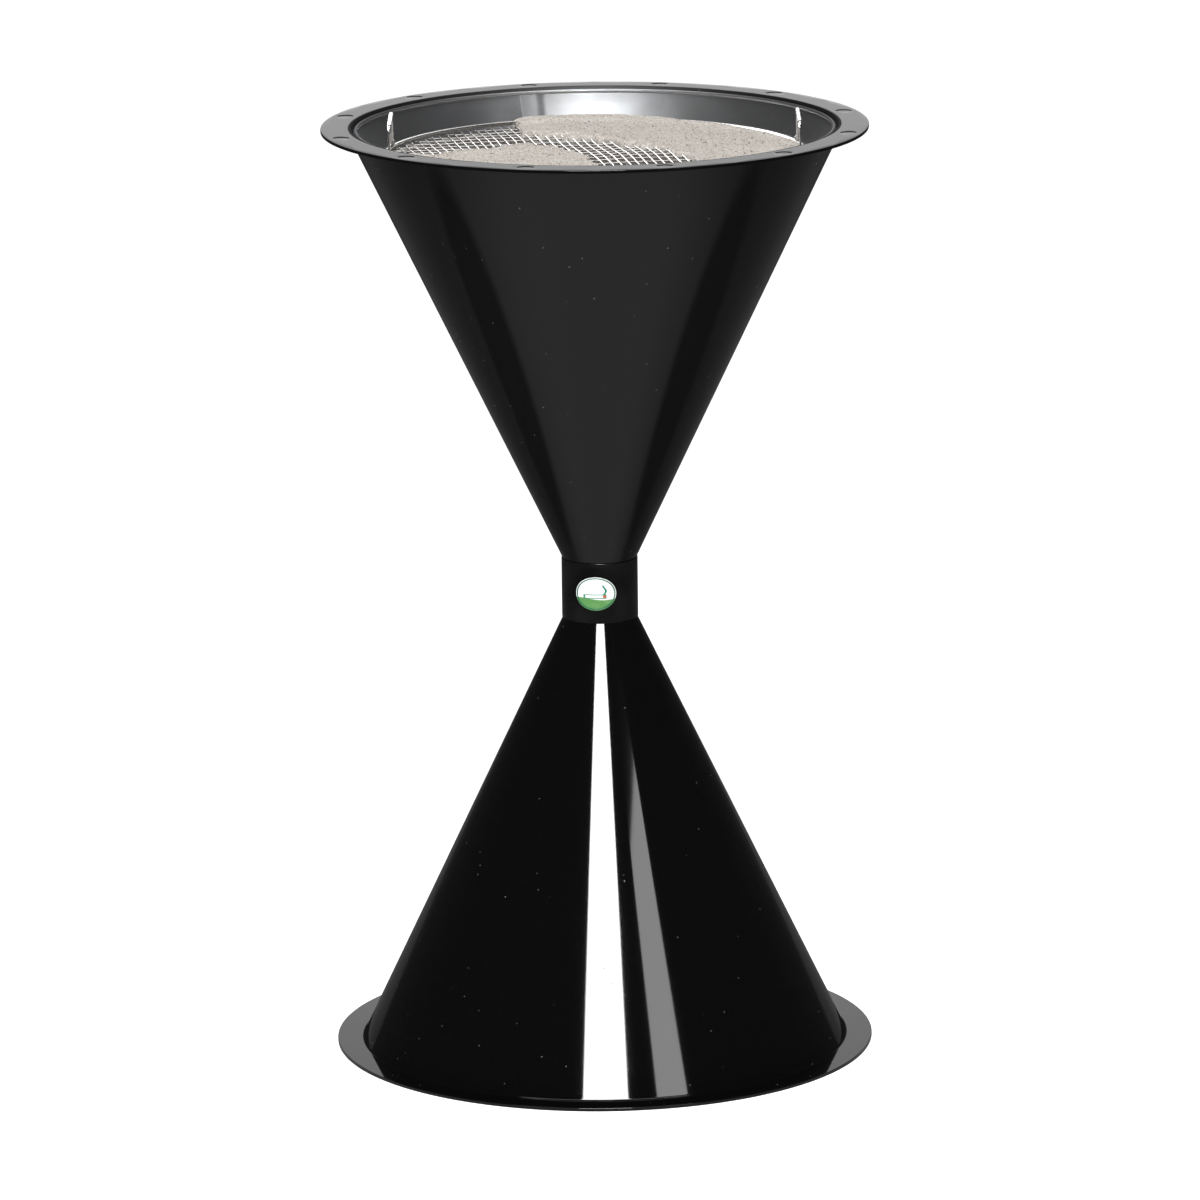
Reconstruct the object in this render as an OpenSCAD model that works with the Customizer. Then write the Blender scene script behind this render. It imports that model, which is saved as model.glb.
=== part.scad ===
// Hourglass floor ashtray: two identical funnel mouldings set end to end and clamped at the neck,
// with a loose sand tray hanging in the upper one and a lift-out wire sieve lying on the sand.
// Millimetres. Origin at the centre of the base on the floor, +Z up, -Y is the front.

/* [Overall] */
// Height of the rim's top face above the floor
rim_h = 690; // [600:5:900]
// Diameter of the round flanges at rim and base
flange_d = 400; // [340:1:480]

/* [Cones] */
// How far a flange stands out beyond the cone's outside
flange_w = 19.5; // [15:0.5:30]
// Thickness of a flange
flange_t = 2.4; // [1.8:0.1:5]
// Wall of a cone, square to its surface
cone_wall = 3; // [2:0.1:4]
// Diameter of the round recesses in a flange's flat face
recess_d = 11.8; // [6:0.1:13]
// Depth of the recesses
recess_depth = 0.4; // [0.3:0.1:1.2]
// Number of recesses round a flange
recess_count = 12; // [6:1:18]

/* [Neck] */
// Outer diameter of the neck sleeve
sleeve_d = 56.4; // [50:0.2:72]
// Visible height of the neck sleeve
sleeve_h = 45; // [36:1:70]
// Wall of the neck sleeve
sleeve_wall = 2.5; // [1.5:0.1:3.5]
// How far the sleeve stands proud of the cones' narrow ends
sleeve_step = 0.7; // [0:0.1:1.2]
// Radial clearance between a spigot and the sleeve
spigot_gap = 0.1; // [0.05:0.05:0.3]
// Wall of a spigot
spigot_wall = 3; // [2:0.1:4]
// Thickness of the web that closes a spigot
web_t = 4; // [3:0.5:6]

/* [Clamp bolt] */
// Thread diameter of the clamp bolt
bolt_d = 8; // [6:1:10]
// Radial clearance of the bolt in the webs
bolt_gap = 0.4; // [0.2:0.1:0.8]
// Width across the flats of the bolt's head
bolt_head_af = 13; // [12:0.5:17]
// Height of the bolt's head
bolt_head_h = 5.3; // [4:0.1:7]
// Outer diameter of a washer
washer_d = 24; // [18:1:30]
// Thickness of a washer
washer_t = 2; // [1:0.1:3]
// Height of the wing nut's hub
nut_h = 8; // [5:0.5:9]
// Width of the wing nut over both wings
nut_span = 34; // [28:1:36]

/* [Tray] */
// Depth of the tray's underside below the rim's top face
tray_depth = 60; // [46:1:90]
// Thickness of the tray's sheet
sheet_t = 0.8; // [0.6:0.1:1.2]
// Gap between tray and funnel, square to the wall
tray_gap = 0.6; // [0.5:0.1:1]
// Diameter of the wire that stiffens the tray's rim
rim_wire_d = 3; // [2.6:0.1:4]
// Gap between that wire and the funnel
rim_wire_gap = 0.3; // [0.3:0.05:0.4]
// How far the top of that wire lies below the rim's top face
rim_wire_drop = 1.5; // [0.5:0.1:4]
// Width of the lap where the tray's sheet closes on itself
lap_w = 9; // [5:0.5:15]
// Angle of the lap's edge, counter-clockwise from +X
lap_turn = 105.2; // [90:0.1:130]
// Gap between the sand and the underside of the sieve
sand_gap = 0.3; // [0.3:0.1:3]
// Gap between the sand and the tray's wall
sand_side_gap = 0.2; // [0.1:0.1:1]

/* [Sieve] */
// Depth of the mesh's upper face below the rim's top face
sieve_depth = 23; // [16:0.5:26]
// Free space between the sieve's ring and the tray's wall
sieve_gap = 10.5; // [4:0.5:14]
// Diameter of the ring's wire
ring_wire_d = 3; // [2.4:0.1:4]
// Diameter of the mesh's wires
mesh_wire_d = 1; // [0.8:0.1:1.4]
// Spacing of the wires that run from front to back
warp_pitch = 6.3; // [5:0.1:12]
// Spacing of the wires that run across
weft_pitch = 12.6; // [6:0.1:20]
// How far the mesh is turned counter-clockwise in its ring
mesh_turn = 11; // [0:1:45]

/* [Handles] */
// Diameter of a bail's wire
bail_wire_d = 2; // [1.6:0.1:2.4]
// Distance between the legs of a bail
bail_w = 70; // [60:1:90]
// Height of a bail's bar above its hinge axis
bail_h = 23; // [16:0.5:26]
// Bend radius of a bail's upper corners
corner_bend = 4; // [2.5:0.5:6]
// Bend radius of a bail's feet
foot_bend = 2.5; // [2:0.1:3]
// Length of a hinge eyelet
eyelet_len = 5; // [3:0.5:8]
// Wall of a hinge eyelet
eyelet_wall = 1; // [0.8:0.1:1.5]
// How deep an eyelet is cut to sit on the ring
eyelet_seat = 0.5; // [0.3:0.1:0.6]
// Radial running clearance of the bail's feet and of the grips
running_gap = 0.1; // [0.05:0.01:0.1]
// Outer diameter of a grip tube
grip_d = 3.4; // [3:0.1:5]
// Length of a grip tube
grip_len = 56; // [30:1:57]

/* [Label] */
// Width of the oval label
label_w = 31; // [20:1:34]
// Height of the oval label
label_h = 25; // [15:1:30]
// Thickness of the label
label_t = 0.3; // [0.2:0.1:0.5]
// How far the label is turned to the left of the front
label_turn = 6.5; // [0:0.5:20]

/* [Hidden] */
$fn = 96;

black = "#17181a";
sleeve_black = "#222326";
steel = "#b9bdc2";
galvanised = "#8f9398";
sand_beige = "#cdc4b8";
label_white = "#f2f4f0";

// Cone moulding, measured from the flat face of its own flange
flange_r = flange_d / 2;
root_r = flange_r - flange_w;
end_r = sleeve_d / 2 - sleeve_step;
shoulder_z = (rim_h - sleeve_h) / 2;
taper = (root_r - end_r) / (shoulder_z - flange_t);
slant = sqrt(1 + taper * taper);
mouth_r = root_r + taper * flange_t - cone_wall * slant;
recess_pitch_r = mouth_r + (flange_r - mouth_r) * 0.54;

// Spigots inside the sleeve
sleeve_bore_r = sleeve_d / 2 - sleeve_wall;
spigot_r = sleeve_bore_r - spigot_gap;
spigot_bore_r = spigot_r - spigot_wall;
blend_top_drop = 3;
blend_h = 8;
blend_z = shoulder_z - blend_top_drop - blend_h;

// Clamp bolt, measured from the plane where the two webs meet
bolt_tail = 3;
thread_r = bolt_d / 2;
bolt_hole_r = thread_r + bolt_gap;
head_corner_r = bolt_head_af / 2 / cos(30);
grip_top_z = web_t + washer_t;
nut_hub_r = thread_r + 3;
nut_wing_t = 2.6;
nut_wing_r = 5;

// Tray: radii at a depth d below the rim's top face
function funnel_r(d) = mouth_r - taper * d;
function tray_out_r(d) = funnel_r(d) - tray_gap * slant;
function tray_in_r(d) = tray_out_r(d) - sheet_t * slant;
rim_wire_depth = rim_wire_drop + rim_wire_d / 2;
rim_wire_r = funnel_r(rim_wire_depth) - (rim_wire_gap + rim_wire_d / 2) * slant;
floor_depth = tray_depth - sheet_t;
lap_deg = lap_w / tray_in_r(floor_depth) * 180 / PI;
// The lap reaches into the wall it belongs to, so that the two are one solid at every angle
lap_bite = sheet_t * slant / 2;

// Sieve
ring_depth = sieve_depth - ring_wire_d / 2;
ring_z = rim_h - ring_depth;
ring_r = tray_in_r(ring_depth) - sieve_gap - ring_wire_d / 2;
warp_depth = sieve_depth + mesh_wire_d / 2;
weft_depth = warp_depth + mesh_wire_d;
sand_depth = weft_depth + mesh_wire_d / 2 + sand_gap;

// Handles
foot_gap = 1;
foot_r = bail_wire_d / 2;
eyelet_bore_r = foot_r + running_gap;
eyelet_r = eyelet_bore_r + eyelet_wall;
eyelet_y = bail_w / 2 + foot_bend + foot_gap + eyelet_len / 2;
foot_len = foot_gap + eyelet_len + foot_gap + 1;
hinge_x = sqrt(ring_r * ring_r - eyelet_y * eyelet_y);
hinge_z = ring_z + ring_wire_d / 2 + eyelet_r - eyelet_seat;

// One funnel with its flange, its flat face on z = 0 and its spigot upwards
module cone_moulding() {
    difference() {
        rotate_extrude()
            polygon([
                [flange_r, 0],
                [flange_r, flange_t],
                [root_r, flange_t],
                [end_r, shoulder_z],
                [spigot_r, shoulder_z],
                [spigot_r, rim_h / 2],
                [bolt_hole_r, rim_h / 2],
                [bolt_hole_r, rim_h / 2 - web_t],
                [spigot_bore_r, rim_h / 2 - web_t],
                [spigot_bore_r, shoulder_z - blend_top_drop],
                [mouth_r - taper * blend_z, blend_z],
                [mouth_r, 0]
            ]);
        for (i = [0 : recess_count - 1])
            rotate([0, 0, (i + 0.5) * 360 / recess_count])
                translate([recess_pitch_r, 0, -1])
                    cylinder(d = recess_d, h = recess_depth + 1);
    }
}

module upper_cone() {
    color(black)
        translate([0, 0, rim_h])
            rotate([180, 0, 0])
                cone_moulding();
}

module lower_cone() {
    color(black) cone_moulding();
}

module neck_sleeve() {
    color(sleeve_black)
        translate([0, 0, shoulder_z])
            difference() {
                cylinder(d = sleeve_d, h = sleeve_h);
                translate([0, 0, -1]) cylinder(r = sleeve_bore_r, h = sleeve_h + 2);
            }
}

// Outline of the label, one point for every 6 degrees
function oval(w, h) = [for (a = [0 : 6 : 354]) [w / 2 * cos(a), h / 2 * sin(a)]];

module neck_label() {
    color(label_white)
        rotate([0, 0, -label_turn])
            translate([0, 0, rim_h / 2])
                intersection() {
                    rotate([90, 0, 0])
                        linear_extrude(height = sleeve_d)
                            polygon(oval(label_w, label_h));
                    difference() {
                        cylinder(r = sleeve_d / 2 + label_t, h = label_h, center = true);
                        cylinder(r = sleeve_d / 2, h = label_h + 2, center = true);
                    }
                }
}

module clamp_bolt() {
    tail = web_t + washer_t + nut_h + bolt_tail;
    color(galvanised)
        translate([0, 0, rim_h / 2]) {
            translate([0, 0, -tail]) cylinder(r = thread_r, h = tail + grip_top_z);
            translate([0, 0, grip_top_z]) cylinder(r = head_corner_r, h = bolt_head_h, $fn = 6);
        }
}

module washer() {
    difference() {
        cylinder(d = washer_d, h = washer_t);
        translate([0, 0, -1]) cylinder(r = bolt_hole_r, h = washer_t + 2);
    }
}

module bolt_washers() {
    color(galvanised)
        for (z = [rim_h / 2 + web_t, rim_h / 2 - web_t - washer_t])
            translate([0, 0, z]) washer();
}

module wing_nut() {
    wing_top = nut_h + 6;
    color(galvanised)
        translate([0, 0, rim_h / 2 - web_t - washer_t])
            rotate([180, 0, 0])
                difference() {
                    union() {
                        cylinder(r = nut_hub_r, h = nut_h);
                        for (side = [0, 180])
                            rotate([90, 0, side])
                                translate([0, 0, -nut_wing_t / 2]) {
                                    translate([nut_span / 2 - nut_wing_r, wing_top - nut_wing_r, 0])
                                        cylinder(r = nut_wing_r, h = nut_wing_t);
                                    linear_extrude(height = nut_wing_t)
                                        polygon([
                                            [nut_hub_r - 1, 1],
                                            [nut_span / 2 - nut_wing_r, wing_top - 2 * nut_wing_r],
                                            [nut_span / 2 - nut_wing_r, wing_top],
                                            [nut_hub_r - 1, nut_h - 1]
                                        ]);
                                }
                    }
                    translate([0, 0, -1]) cylinder(r = thread_r, h = wing_top + 2);
                }
}

module ring(radius, wire_d) {
    rotate_extrude() translate([radius, 0]) circle(d = wire_d);
}

module tray_rim_wire() {
    color(steel)
        translate([0, 0, rim_h - rim_wire_depth])
            ring(rim_wire_r, rim_wire_d);
}

// Second thickness of sheet on the inside, where the rolled wall closes
module lap_strip() {
    top = rim_wire_depth;
    translate([0, 0, rim_h])
        rotate([0, 0, lap_turn])
            rotate_extrude(angle = lap_deg)
                polygon([
                    [tray_in_r(top) - sheet_t * slant, -top],
                    [tray_in_r(top) + lap_bite, -top],
                    [tray_in_r(floor_depth) + lap_bite, -floor_depth],
                    [tray_in_r(floor_depth) - sheet_t * slant, -floor_depth]
                ]);
}

module tray_wall() {
    top = rim_wire_depth;
    color(steel)
        difference() {
            union() {
                translate([0, 0, rim_h])
                    rotate_extrude()
                        polygon([
                            [tray_in_r(top), -top],
                            [tray_out_r(top), -top],
                            [tray_out_r(tray_depth), -tray_depth],
                            [tray_in_r(tray_depth), -tray_depth]
                        ]);
                lap_strip();
            }
            tray_rim_wire();
        }
}

module tray_floor() {
    color(steel)
        translate([0, 0, rim_h - tray_depth])
            cylinder(r1 = tray_in_r(tray_depth), r2 = tray_in_r(floor_depth), h = sheet_t);
}

module sand_fill() {
    color(sand_beige)
        difference() {
            translate([0, 0, rim_h - floor_depth])
                cylinder(
                    r1 = tray_in_r(floor_depth) - sand_side_gap, r2 = tray_in_r(sand_depth) - sand_side_gap,
                    h = floor_depth - sand_depth
                );
            lap_strip();
        }
}

module sieve_ring() {
    color(steel)
        translate([0, 0, ring_z])
            ring(ring_r, ring_wire_d);
}

// Parallel straight wires across the ring, running along Y
module wire_row(pitch, depth) {
    last = floor((ring_r - ring_wire_d) / pitch);
    translate([0, 0, rim_h - depth])
        for (i = [-last : last])
            translate([i * pitch, 0, 0])
                rotate([90, 0, 0])
                    cylinder(d = mesh_wire_d, h = 2 * sqrt(pow(ring_r, 2) - pow(i * pitch, 2)), center = true);
}

module mesh_warp() {
    color(steel)
        rotate([0, 0, mesh_turn])
            wire_row(warp_pitch, warp_depth);
}

module mesh_weft() {
    color(steel)
        rotate([0, 0, mesh_turn + 90])
            wire_row(weft_pitch, weft_depth);
}

module bail_eyelets() {
    color(steel)
        difference() {
            for (x = [-hinge_x, hinge_x])
                for (y = [-eyelet_y, eyelet_y])
                    translate([x, y, hinge_z])
                        rotate([90, 0, 0])
                            difference() {
                                cylinder(r = eyelet_r, h = eyelet_len, center = true);
                                cylinder(r = eyelet_bore_r, h = eyelet_len + 2, center = true);
                            }
            sieve_ring();
        }
}

// Quarter bend of round wire in the XY plane, from the +X to the +Y side of its centre
module quarter_bend(bend_r) {
    rotate_extrude(angle = 90) translate([bend_r, 0]) circle(d = bail_wire_d);
}

// Half of a bail in the XY plane: hinge axis along X, leg upwards along Y
module half_bail() {
    leg = bail_w / 2;
    translate([leg + foot_bend, 0, 0])
        rotate([0, 90, 0])
            cylinder(r = foot_r, h = foot_len);
    translate([leg + foot_bend, foot_bend, 0])
        rotate([0, 0, 180])
            quarter_bend(foot_bend);
    translate([leg, foot_bend, 0])
        rotate([-90, 0, 0])
            cylinder(r = foot_r, h = bail_h - foot_bend - corner_bend);
    translate([leg - corner_bend, bail_h - corner_bend, 0])
        quarter_bend(corner_bend);
    translate([0, bail_h, 0])
        rotate([0, 90, 0])
            cylinder(r = foot_r, h = leg - corner_bend);
}

module bail() {
    color(steel)
        rotate([90, 0, 90]) {
            half_bail();
            mirror([1, 0, 0]) half_bail();
        }
}

module grip() {
    color(galvanised)
        translate([0, 0, bail_h])
            rotate([90, 0, 0])
                difference() {
                    cylinder(d = grip_d, h = grip_len, center = true);
                    cylinder(r = foot_r + running_gap, h = grip_len + 2, center = true);
                }
}

module bail_left() {
    translate([-hinge_x, 0, hinge_z]) bail();
}

module bail_right() {
    translate([hinge_x, 0, hinge_z]) bail();
}

module grip_left() {
    translate([-hinge_x, 0, hinge_z]) grip();
}

module grip_right() {
    translate([hinge_x, 0, hinge_z]) grip();
}

upper_cone();
lower_cone();
neck_sleeve();
neck_label();
clamp_bolt();
bolt_washers();
wing_nut();
tray_wall();
tray_floor();
tray_rim_wire();
sand_fill();
sieve_ring();
mesh_warp();
mesh_weft();
bail_eyelets();
bail_left();
bail_right();
grip_left();
grip_right();
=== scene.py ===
"""Looks of an hourglass floor ashtray: two black funnels clamped at the neck, with a sheet-metal sand
tray and a lift-out wire sieve in the upper one.

Each sub-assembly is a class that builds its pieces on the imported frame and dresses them. Shapes are worked
out in millimetres as whole numpy arrays and put into meshes in metres.
"""

import logging
import math
from dataclasses import dataclass, field
from enum import Enum
from typing import Any, Sequence

import bmesh
import bpy
import numpy as np
from mathutils import Matrix, Vector


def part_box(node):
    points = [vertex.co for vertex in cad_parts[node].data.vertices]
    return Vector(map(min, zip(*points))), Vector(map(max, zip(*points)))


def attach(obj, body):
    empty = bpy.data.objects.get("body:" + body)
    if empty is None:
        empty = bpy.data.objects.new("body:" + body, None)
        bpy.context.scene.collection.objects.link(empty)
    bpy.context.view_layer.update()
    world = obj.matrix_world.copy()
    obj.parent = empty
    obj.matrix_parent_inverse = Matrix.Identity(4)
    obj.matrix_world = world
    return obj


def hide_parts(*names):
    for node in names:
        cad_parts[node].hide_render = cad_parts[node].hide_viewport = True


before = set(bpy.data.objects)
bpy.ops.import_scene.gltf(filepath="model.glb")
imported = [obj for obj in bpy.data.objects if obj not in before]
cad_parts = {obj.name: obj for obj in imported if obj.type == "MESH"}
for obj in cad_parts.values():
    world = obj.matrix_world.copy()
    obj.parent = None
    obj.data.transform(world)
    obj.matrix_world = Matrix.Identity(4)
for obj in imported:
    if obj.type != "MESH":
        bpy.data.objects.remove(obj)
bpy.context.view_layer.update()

MM = 0.001
TAU = 2 * math.pi
Array = np.ndarray
Colour = tuple[float, float, float]
Curve = tuple[tuple[float, float], ...]
log = logging.getLogger("ashtray")


# ---------------------------------------------------------------- frame sizes


@dataclass(frozen=True)
class NodeBox:
    """Lowest and highest corner of a CAD node at rest, in millimetres.

    Args:
        name: The node's name.
    """

    name: str

    def corners(self) -> tuple[Array, Array]:
        """Returns the node's two corners."""
        low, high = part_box(self.name)
        return np.array(low) / MM, np.array(high) / MM

    @property
    def top(self) -> float:
        """Height of the node's highest point."""
        return float(self.corners()[1][2])

    @property
    def bottom(self) -> float:
        """Height of the node's lowest point."""
        return float(self.corners()[0][2])

    @property
    def radius(self) -> float:
        """Half of the node's width along Y, which is its outer radius where it is round."""
        low, high = self.corners()
        return float(high[1] - low[1]) / 2

    @property
    def middle(self) -> Array:
        """Centre of the node's box."""
        low, high = self.corners()
        return (low + high) / 2


# ---------------------------------------------------------------- surfaces


def arc(centre: Sequence[float], radius: float, start: float, end: float, steps: int) -> Array:
    """Points on a flat arc: the centre plus the radius times the cosine and sine of an even run of angles.

    Args:
        centre: The arc's centre.
        radius: The arc's radius.
        start: First angle in radians.
        end: Last angle in radians.
        steps: Number of stretches.

    Returns:
        The points, one per row.
    """
    a = np.linspace(start, end, steps + 1)
    return np.column_stack([centre[0] + radius * np.cos(a), centre[1] + radius * np.sin(a)])


def rounded(outline: Sequence[Sequence[float]], radii: Sequence[float], steps: int = 6) -> Array:
    """A closed outline with its corners rounded.

    At a corner with radius r the arc's centre lies on the bisector, r / sin(half the angle) away, and the
    arc touches both edges at r / tan(half the angle) from the corner.

    Args:
        outline: Corners in order.
        radii: Radius at each corner, 0 for a sharp one.
        steps: Stretches in each arc.

    Returns:
        The outline's points, one per row.
    """
    corners = np.array(outline, float)
    count = len(corners)
    runs: list[Array] = []
    for i, radius in enumerate(radii):
        here, before, after = corners[i], corners[i - 1], corners[(i + 1) % count]
        if radius <= 0:
            runs.append(here[None])
            continue
        to_before = (before - here) / np.linalg.norm(before - here)
        to_after = (after - here) / np.linalg.norm(after - here)
        half = math.acos(np.clip(to_before @ to_after, -1, 1)) / 2
        bisector = (to_before + to_after) / np.linalg.norm(to_before + to_after)
        centre = here + bisector * radius / math.sin(half)
        first = here + to_before * radius / math.tan(half) - centre
        last = here + to_after * radius / math.tan(half) - centre
        start = math.atan2(first[1], first[0])
        turn = math.atan2(last[1], last[0]) - start
        turn = (turn + math.pi) % TAU - math.pi
        runs.append(arc(centre, radius, start, start + turn, steps))
    return np.vstack(runs)


def polar(r: Array | float, a: Array, z: Array | float) -> Array:
    """Points at a radius, an angle and a height: x = r cos a, y = r sin a, z unchanged."""
    return np.stack(np.broadcast_arrays(r * np.cos(a), r * np.sin(a), z), -1)


def read_curve(curve: Curve, x: Array) -> Array:
    """Reads a curve, given by a few of its points, with straight stretches between them."""
    return np.interp(x, *zip(*curve))


def revolve(outline: Array, angles: Array) -> Array:
    """Carries an outline of radius and height round the axis.

    Args:
        outline: Points of radius and height.
        angles: Angles round the axis in radians.

    Returns:
        A grid of points, one row for each outline point and one column for each angle.
    """
    return polar(outline[:, 0:1], angles, outline[:, 1:2])


def full_turn(count: int) -> Array:
    """Even angles round a full turn, the last one short of the first."""
    return np.arange(count) * TAU / count


def tube(path: Array, radius: float | Array, sides: int, up: Sequence[float], closed: bool = False) -> Array:
    """Sweeps a circle along a path that lies in one plane.

    At each point the section's first axis is the plane's normal crossed with the tangent and its second is
    that normal: point = path + radius (cos b side + sin b up).

    Args:
        path: Points of the centre line.
        radius: The tube's radius, one value or one for each point.
        sides: Number of points round the section.
        up: Normal of the plane that the path lies in.
        closed: Whether the path's end meets its start.

    Returns:
        A grid of points, one row for each path point and one column for each side.
    """
    if closed:
        tangent = np.roll(path, -1, 0) - np.roll(path, 1, 0)
    else:
        tangent = np.gradient(path, axis=0)
    tangent = tangent / np.linalg.norm(tangent, axis=1, keepdims=True)
    normal = np.broadcast_to(np.array(up, float), path.shape)
    side = np.cross(normal, tangent)
    side = side / np.linalg.norm(side, axis=1, keepdims=True)
    lift = np.cross(tangent, side)
    b = full_turn(sides)
    size = np.broadcast_to(np.asarray(radius, float), (len(path),))[:, None, None]
    ring = side[:, None, :] * np.cos(b)[None, :, None] + lift[:, None, :] * np.sin(b)[None, :, None]
    return path[:, None, :] + size * ring


class Waves:
    """A smooth random field: the mean of many plane waves with seeded directions and phases.

    Args:
        seed: Seed of the random draws.
        length: Typical wavelength in millimetres.
        count: Number of waves.
    """

    def __init__(self, seed: int, length: float, count: int = 24) -> None:
        draw = np.random.default_rng(seed)
        heading = draw.uniform(0, TAU, count)
        number = TAU / (length * draw.uniform(0.6, 1.7, count))
        self.kx = number * np.cos(heading)
        self.ky = number * np.sin(heading)
        self.phase = draw.uniform(0, TAU, count)
        self.scale = math.sqrt(2 / count)

    def __call__(self, x: Array, y: Array) -> Array:
        """Returns the field at the points, with a spread of about 1."""
        total = np.zeros(np.broadcast(x, y).shape)
        for kx, ky, phase in zip(self.kx, self.ky, self.phase):
            total += np.sin(kx * x + ky * y + phase)
        return total * self.scale


def smooth_step(low: float, high: float, value: Array) -> Array:
    """Rises from 0 at low to 1 at high as 3 t squared less 2 t cubed."""
    t = np.clip((value - low) / (high - low), 0, 1)
    return t * t * (3 - 2 * t)


class MeshParts:
    """Collects grids and fans of points, in millimetres, and makes one mesh object of them."""

    def __init__(self) -> None:
        self.points: list[Array] = []
        self.faces: list[tuple[int, ...]] = []
        self.count = 0

    def _add_points(self, points: Array) -> int:
        """Adds points and returns the first one's number."""
        first = self.count
        self.points.append(points.reshape(-1, 3))
        self.count += len(self.points[-1])
        return first

    def grid(self, points: Array, wrap_rows: bool = False, wrap_cols: bool = False) -> Array:
        """Adds a grid of quads.

        Args:
            points: Points as rows, columns and three coordinates.
            wrap_rows: Whether the last row joins the first.
            wrap_cols: Whether the last column joins the first.

        Returns:
            The points' numbers, shaped as the grid.
        """
        rows, cols = points.shape[:2]
        number = self._add_points(points) + np.arange(rows * cols).reshape(rows, cols)
        down = np.arange(rows if wrap_rows else rows - 1)
        along = np.arange(cols if wrap_cols else cols - 1)
        i, j = np.meshgrid(down, along, indexing="ij")
        i2, j2 = (i + 1) % rows, (j + 1) % cols
        quads = np.stack([number[i, j], number[i, j2], number[i2, j2], number[i2, j]], -1)
        self.faces.extend(map(tuple, quads.reshape(-1, 4).tolist()))
        return number

    def fan(self, rim: Array, centre: Array) -> None:
        """Closes a round hole with triangles from its rim's numbered points to a centre point."""
        hub = self._add_points(np.asarray(centre, float))
        self.faces.extend((int(a), int(b), hub) for a, b in zip(rim, np.roll(rim, -1)))

    def capped_tube(self, points: Array) -> None:
        """Adds an open-ended tube grid and closes both of its ends."""
        number = self.grid(points, wrap_cols=True)
        self.fan(number[0], points[0].mean(0))
        self.fan(number[-1], points[-1].mean(0))

    def copies(self, shape: Array, faces: Sequence[Sequence[int]], places: Array, turns: Array) -> None:
        """Adds many small copies of one shape.

        Args:
            shape: The shape's points.
            faces: The shape's faces.
            places: Where each copy goes.
            turns: A 3 by 3 matrix for each copy that turns and sizes it.
        """
        points = np.einsum("nij,vj->nvi", turns, shape) + places[:, None, :]
        first = self._add_points(points)
        index = np.array(faces)[None] + first + len(shape) * np.arange(len(places))[:, None, None]
        self.faces.extend(map(tuple, index.reshape(-1, index.shape[-1]).tolist()))

    def build(self, name: str, sharp_deg: float = 40, merge: float = 0.0) -> bpy.types.Object:
        """Makes the mesh object, in metres, with its faces turned outwards.

        Args:
            name: The piece's name.
            sharp_deg: Edges that turn by more than this stay sharp.
            merge: Points nearer than this many millimetres are joined.

        Returns:
            The new object.
        """
        mesh = bpy.data.meshes.new(name)
        mesh.from_pydata((np.vstack(self.points) * MM).tolist(), [], self.faces)
        work = bmesh.new()
        work.from_mesh(mesh)
        if merge > 0:
            bmesh.ops.remove_doubles(work, verts=work.verts, dist=merge * MM)
        bmesh.ops.recalc_face_normals(work, faces=work.faces)
        work.to_mesh(mesh)
        work.free()
        mesh.shade_smooth()
        mesh.set_sharp_from_angle(angle=math.radians(sharp_deg))
        piece = bpy.data.objects.new(name, mesh)
        bpy.context.scene.collection.objects.link(piece)
        return piece


def wire_loop(name: str, path: Array, radius: float) -> bpy.types.Object:
    """A ring of round wire along a closed level path."""
    parts = MeshParts()
    parts.grid(tube(path, radius, 16, (0, 0, 1), True), wrap_rows=True, wrap_cols=True)
    return parts.build(name, 60)


def vertices_of(piece: bpy.types.Object) -> Array:
    """A piece's vertices in millimetres."""
    co = np.empty(len(piece.data.vertices) * 3)
    piece.data.vertices.foreach_get("co", co)
    return co.reshape(-1, 3) / MM


def set_ash_and_shade(piece: bpy.types.Object, share: Array) -> None:
    """Writes at each of a piece's vertices how far the sand is darkened: on the bed this is partly ash and
    partly painted shade under the bare mesh, and on the loose grains it marks the dark grains.
    """
    ash = piece.data.attributes.new("ash", "FLOAT", "POINT")
    ash.data.foreach_set("value", share.astype(np.float32))


# ---------------------------------------------------------------- shader maths


class Value:
    """One output socket of a shader graph, with arithmetic on it.

    Args:
        graph: The graph that the socket belongs to.
        socket: The output socket.
    """

    def __init__(self, graph: "Graph", socket: bpy.types.NodeSocket) -> None:
        self.graph = graph
        self.socket = socket

    def __add__(self, other: "Value | float") -> "Value":
        """Sum."""
        return self.graph.maths("ADD", self, other)

    __radd__ = __add__

    def __sub__(self, other: "Value | float") -> "Value":
        """Difference."""
        return self.graph.maths("SUBTRACT", self, other)

    def __rsub__(self, other: "Value | float") -> "Value":
        """Difference from a number."""
        return self.graph.maths("SUBTRACT", other, self)

    def __mul__(self, other: "Value | float") -> "Value":
        """Product."""
        return self.graph.maths("MULTIPLY", self, other)

    __rmul__ = __mul__

    def __truediv__(self, other: "Value | float") -> "Value":
        """Quotient."""
        return self.graph.maths("DIVIDE", self, other)

    def __pow__(self, other: "Value | float") -> "Value":
        """Power."""
        return self.graph.maths("POWER", self, other)

    def between(self, low: float, high: float) -> "Value":
        """0 below low, 1 above high and a smooth rise between them."""
        return self.graph.remap(self, low, high)


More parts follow.
